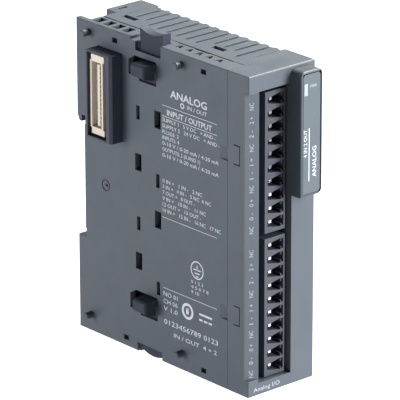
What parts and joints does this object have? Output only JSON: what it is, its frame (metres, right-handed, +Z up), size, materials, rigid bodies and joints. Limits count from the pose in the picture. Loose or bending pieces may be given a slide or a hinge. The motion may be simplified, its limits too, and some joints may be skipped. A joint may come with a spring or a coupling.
{
  "type": "plc input/output expansion module",
  "caption": "Slim DIN-rail controller input/output module with front pin headers, a side bus plug, a sliding side lock and a pull-down rail clip.",
  "frame": {"origin": "middle of the face at the back that rests on the 35 mm rail, halfway across the case and level with the rail's centre line", "axes": "+X to the right as seen from the front, +Y to the back towards the rail, +Z up"},
  "size_m": [0.0278, 0.0742, 0.0933],
  "materials": {
    "side_grey": "fine moulded texture",
    "case_grey": "fine moulded texture",
    "front_grey": "fine moulded texture",
    "strip_grey": "smooth print film",
    "cover_grey": "satin",
    "plate_grey": "smooth print film",
    "lens_clear": "clear",
    "header_grey": "satin",
    "pin_tin": "bright tin",
    "lock_dark": "satin",
    "clip_black": "satin",
    "shroud_dark": "satin",
    "connector_cream": "satin",
    "contact_gold": "gold flash",
    "board_green": "solder mask",
    "chip_black": "moulded epoxy",
    "ferrite_grey": "ferrite",
    "can_aluminium": "drawn can",
    "link_black": "moulded",
    "led_white": "moulded",
    "chip_tan": "ceramic",
    "print_white": "printed ink"
  },
  "bodies": {
    "case": {"left_cover": "side_grey", "main_housing": "case_grey", "front_bezel": "front_grey", "terminal_label": "strip_grey", "label_cover": "cover_grey", "label_plate": "plate_grey", "light_pipe": "lens_clear", "header_lower": "header_grey", "header_upper": "header_grey", "pins_lower": "pin_tin", "pins_upper": "pin_tin", "bus_plug_shroud": "shroud_dark", "bus_plug_body": "connector_cream", "bus_plug_contacts": "contact_gold", "bus_socket_body": "connector_cream", "bus_socket_contacts": "contact_gold", "bus_board": "board_green", "io_board": "board_green", "microcontroller": "chip_black", "input_converter": "chip_black", "output_converter": "chip_black", "isolators": "chip_black", "isolation_transformer": "ferrite_grey", "inductor": "ferrite_grey", "voltage_regulator": "chip_black", "capacitors": "can_aluminium", "board_link_socket": "link_black", "board_link_plug": "link_black", "power_led": "led_white", "chip_parts": "chip_tan"},
    "lock": {"lock_slider": "lock_dark"},
    "rail_clip": {"din_clip": "clip_black"}
  },
  "joints": [
    {"name": "lock_slide", "type": "slide", "parent": "case", "child": "lock", "axis": [0, 0, -1], "range_m": [0, 0.003]},
    {"name": "rail_clip_slide", "type": "slide", "parent": "case", "child": "rail_clip", "axis": [0, 0, -1], "range_m": [0, 0.0085]}
  ]
}
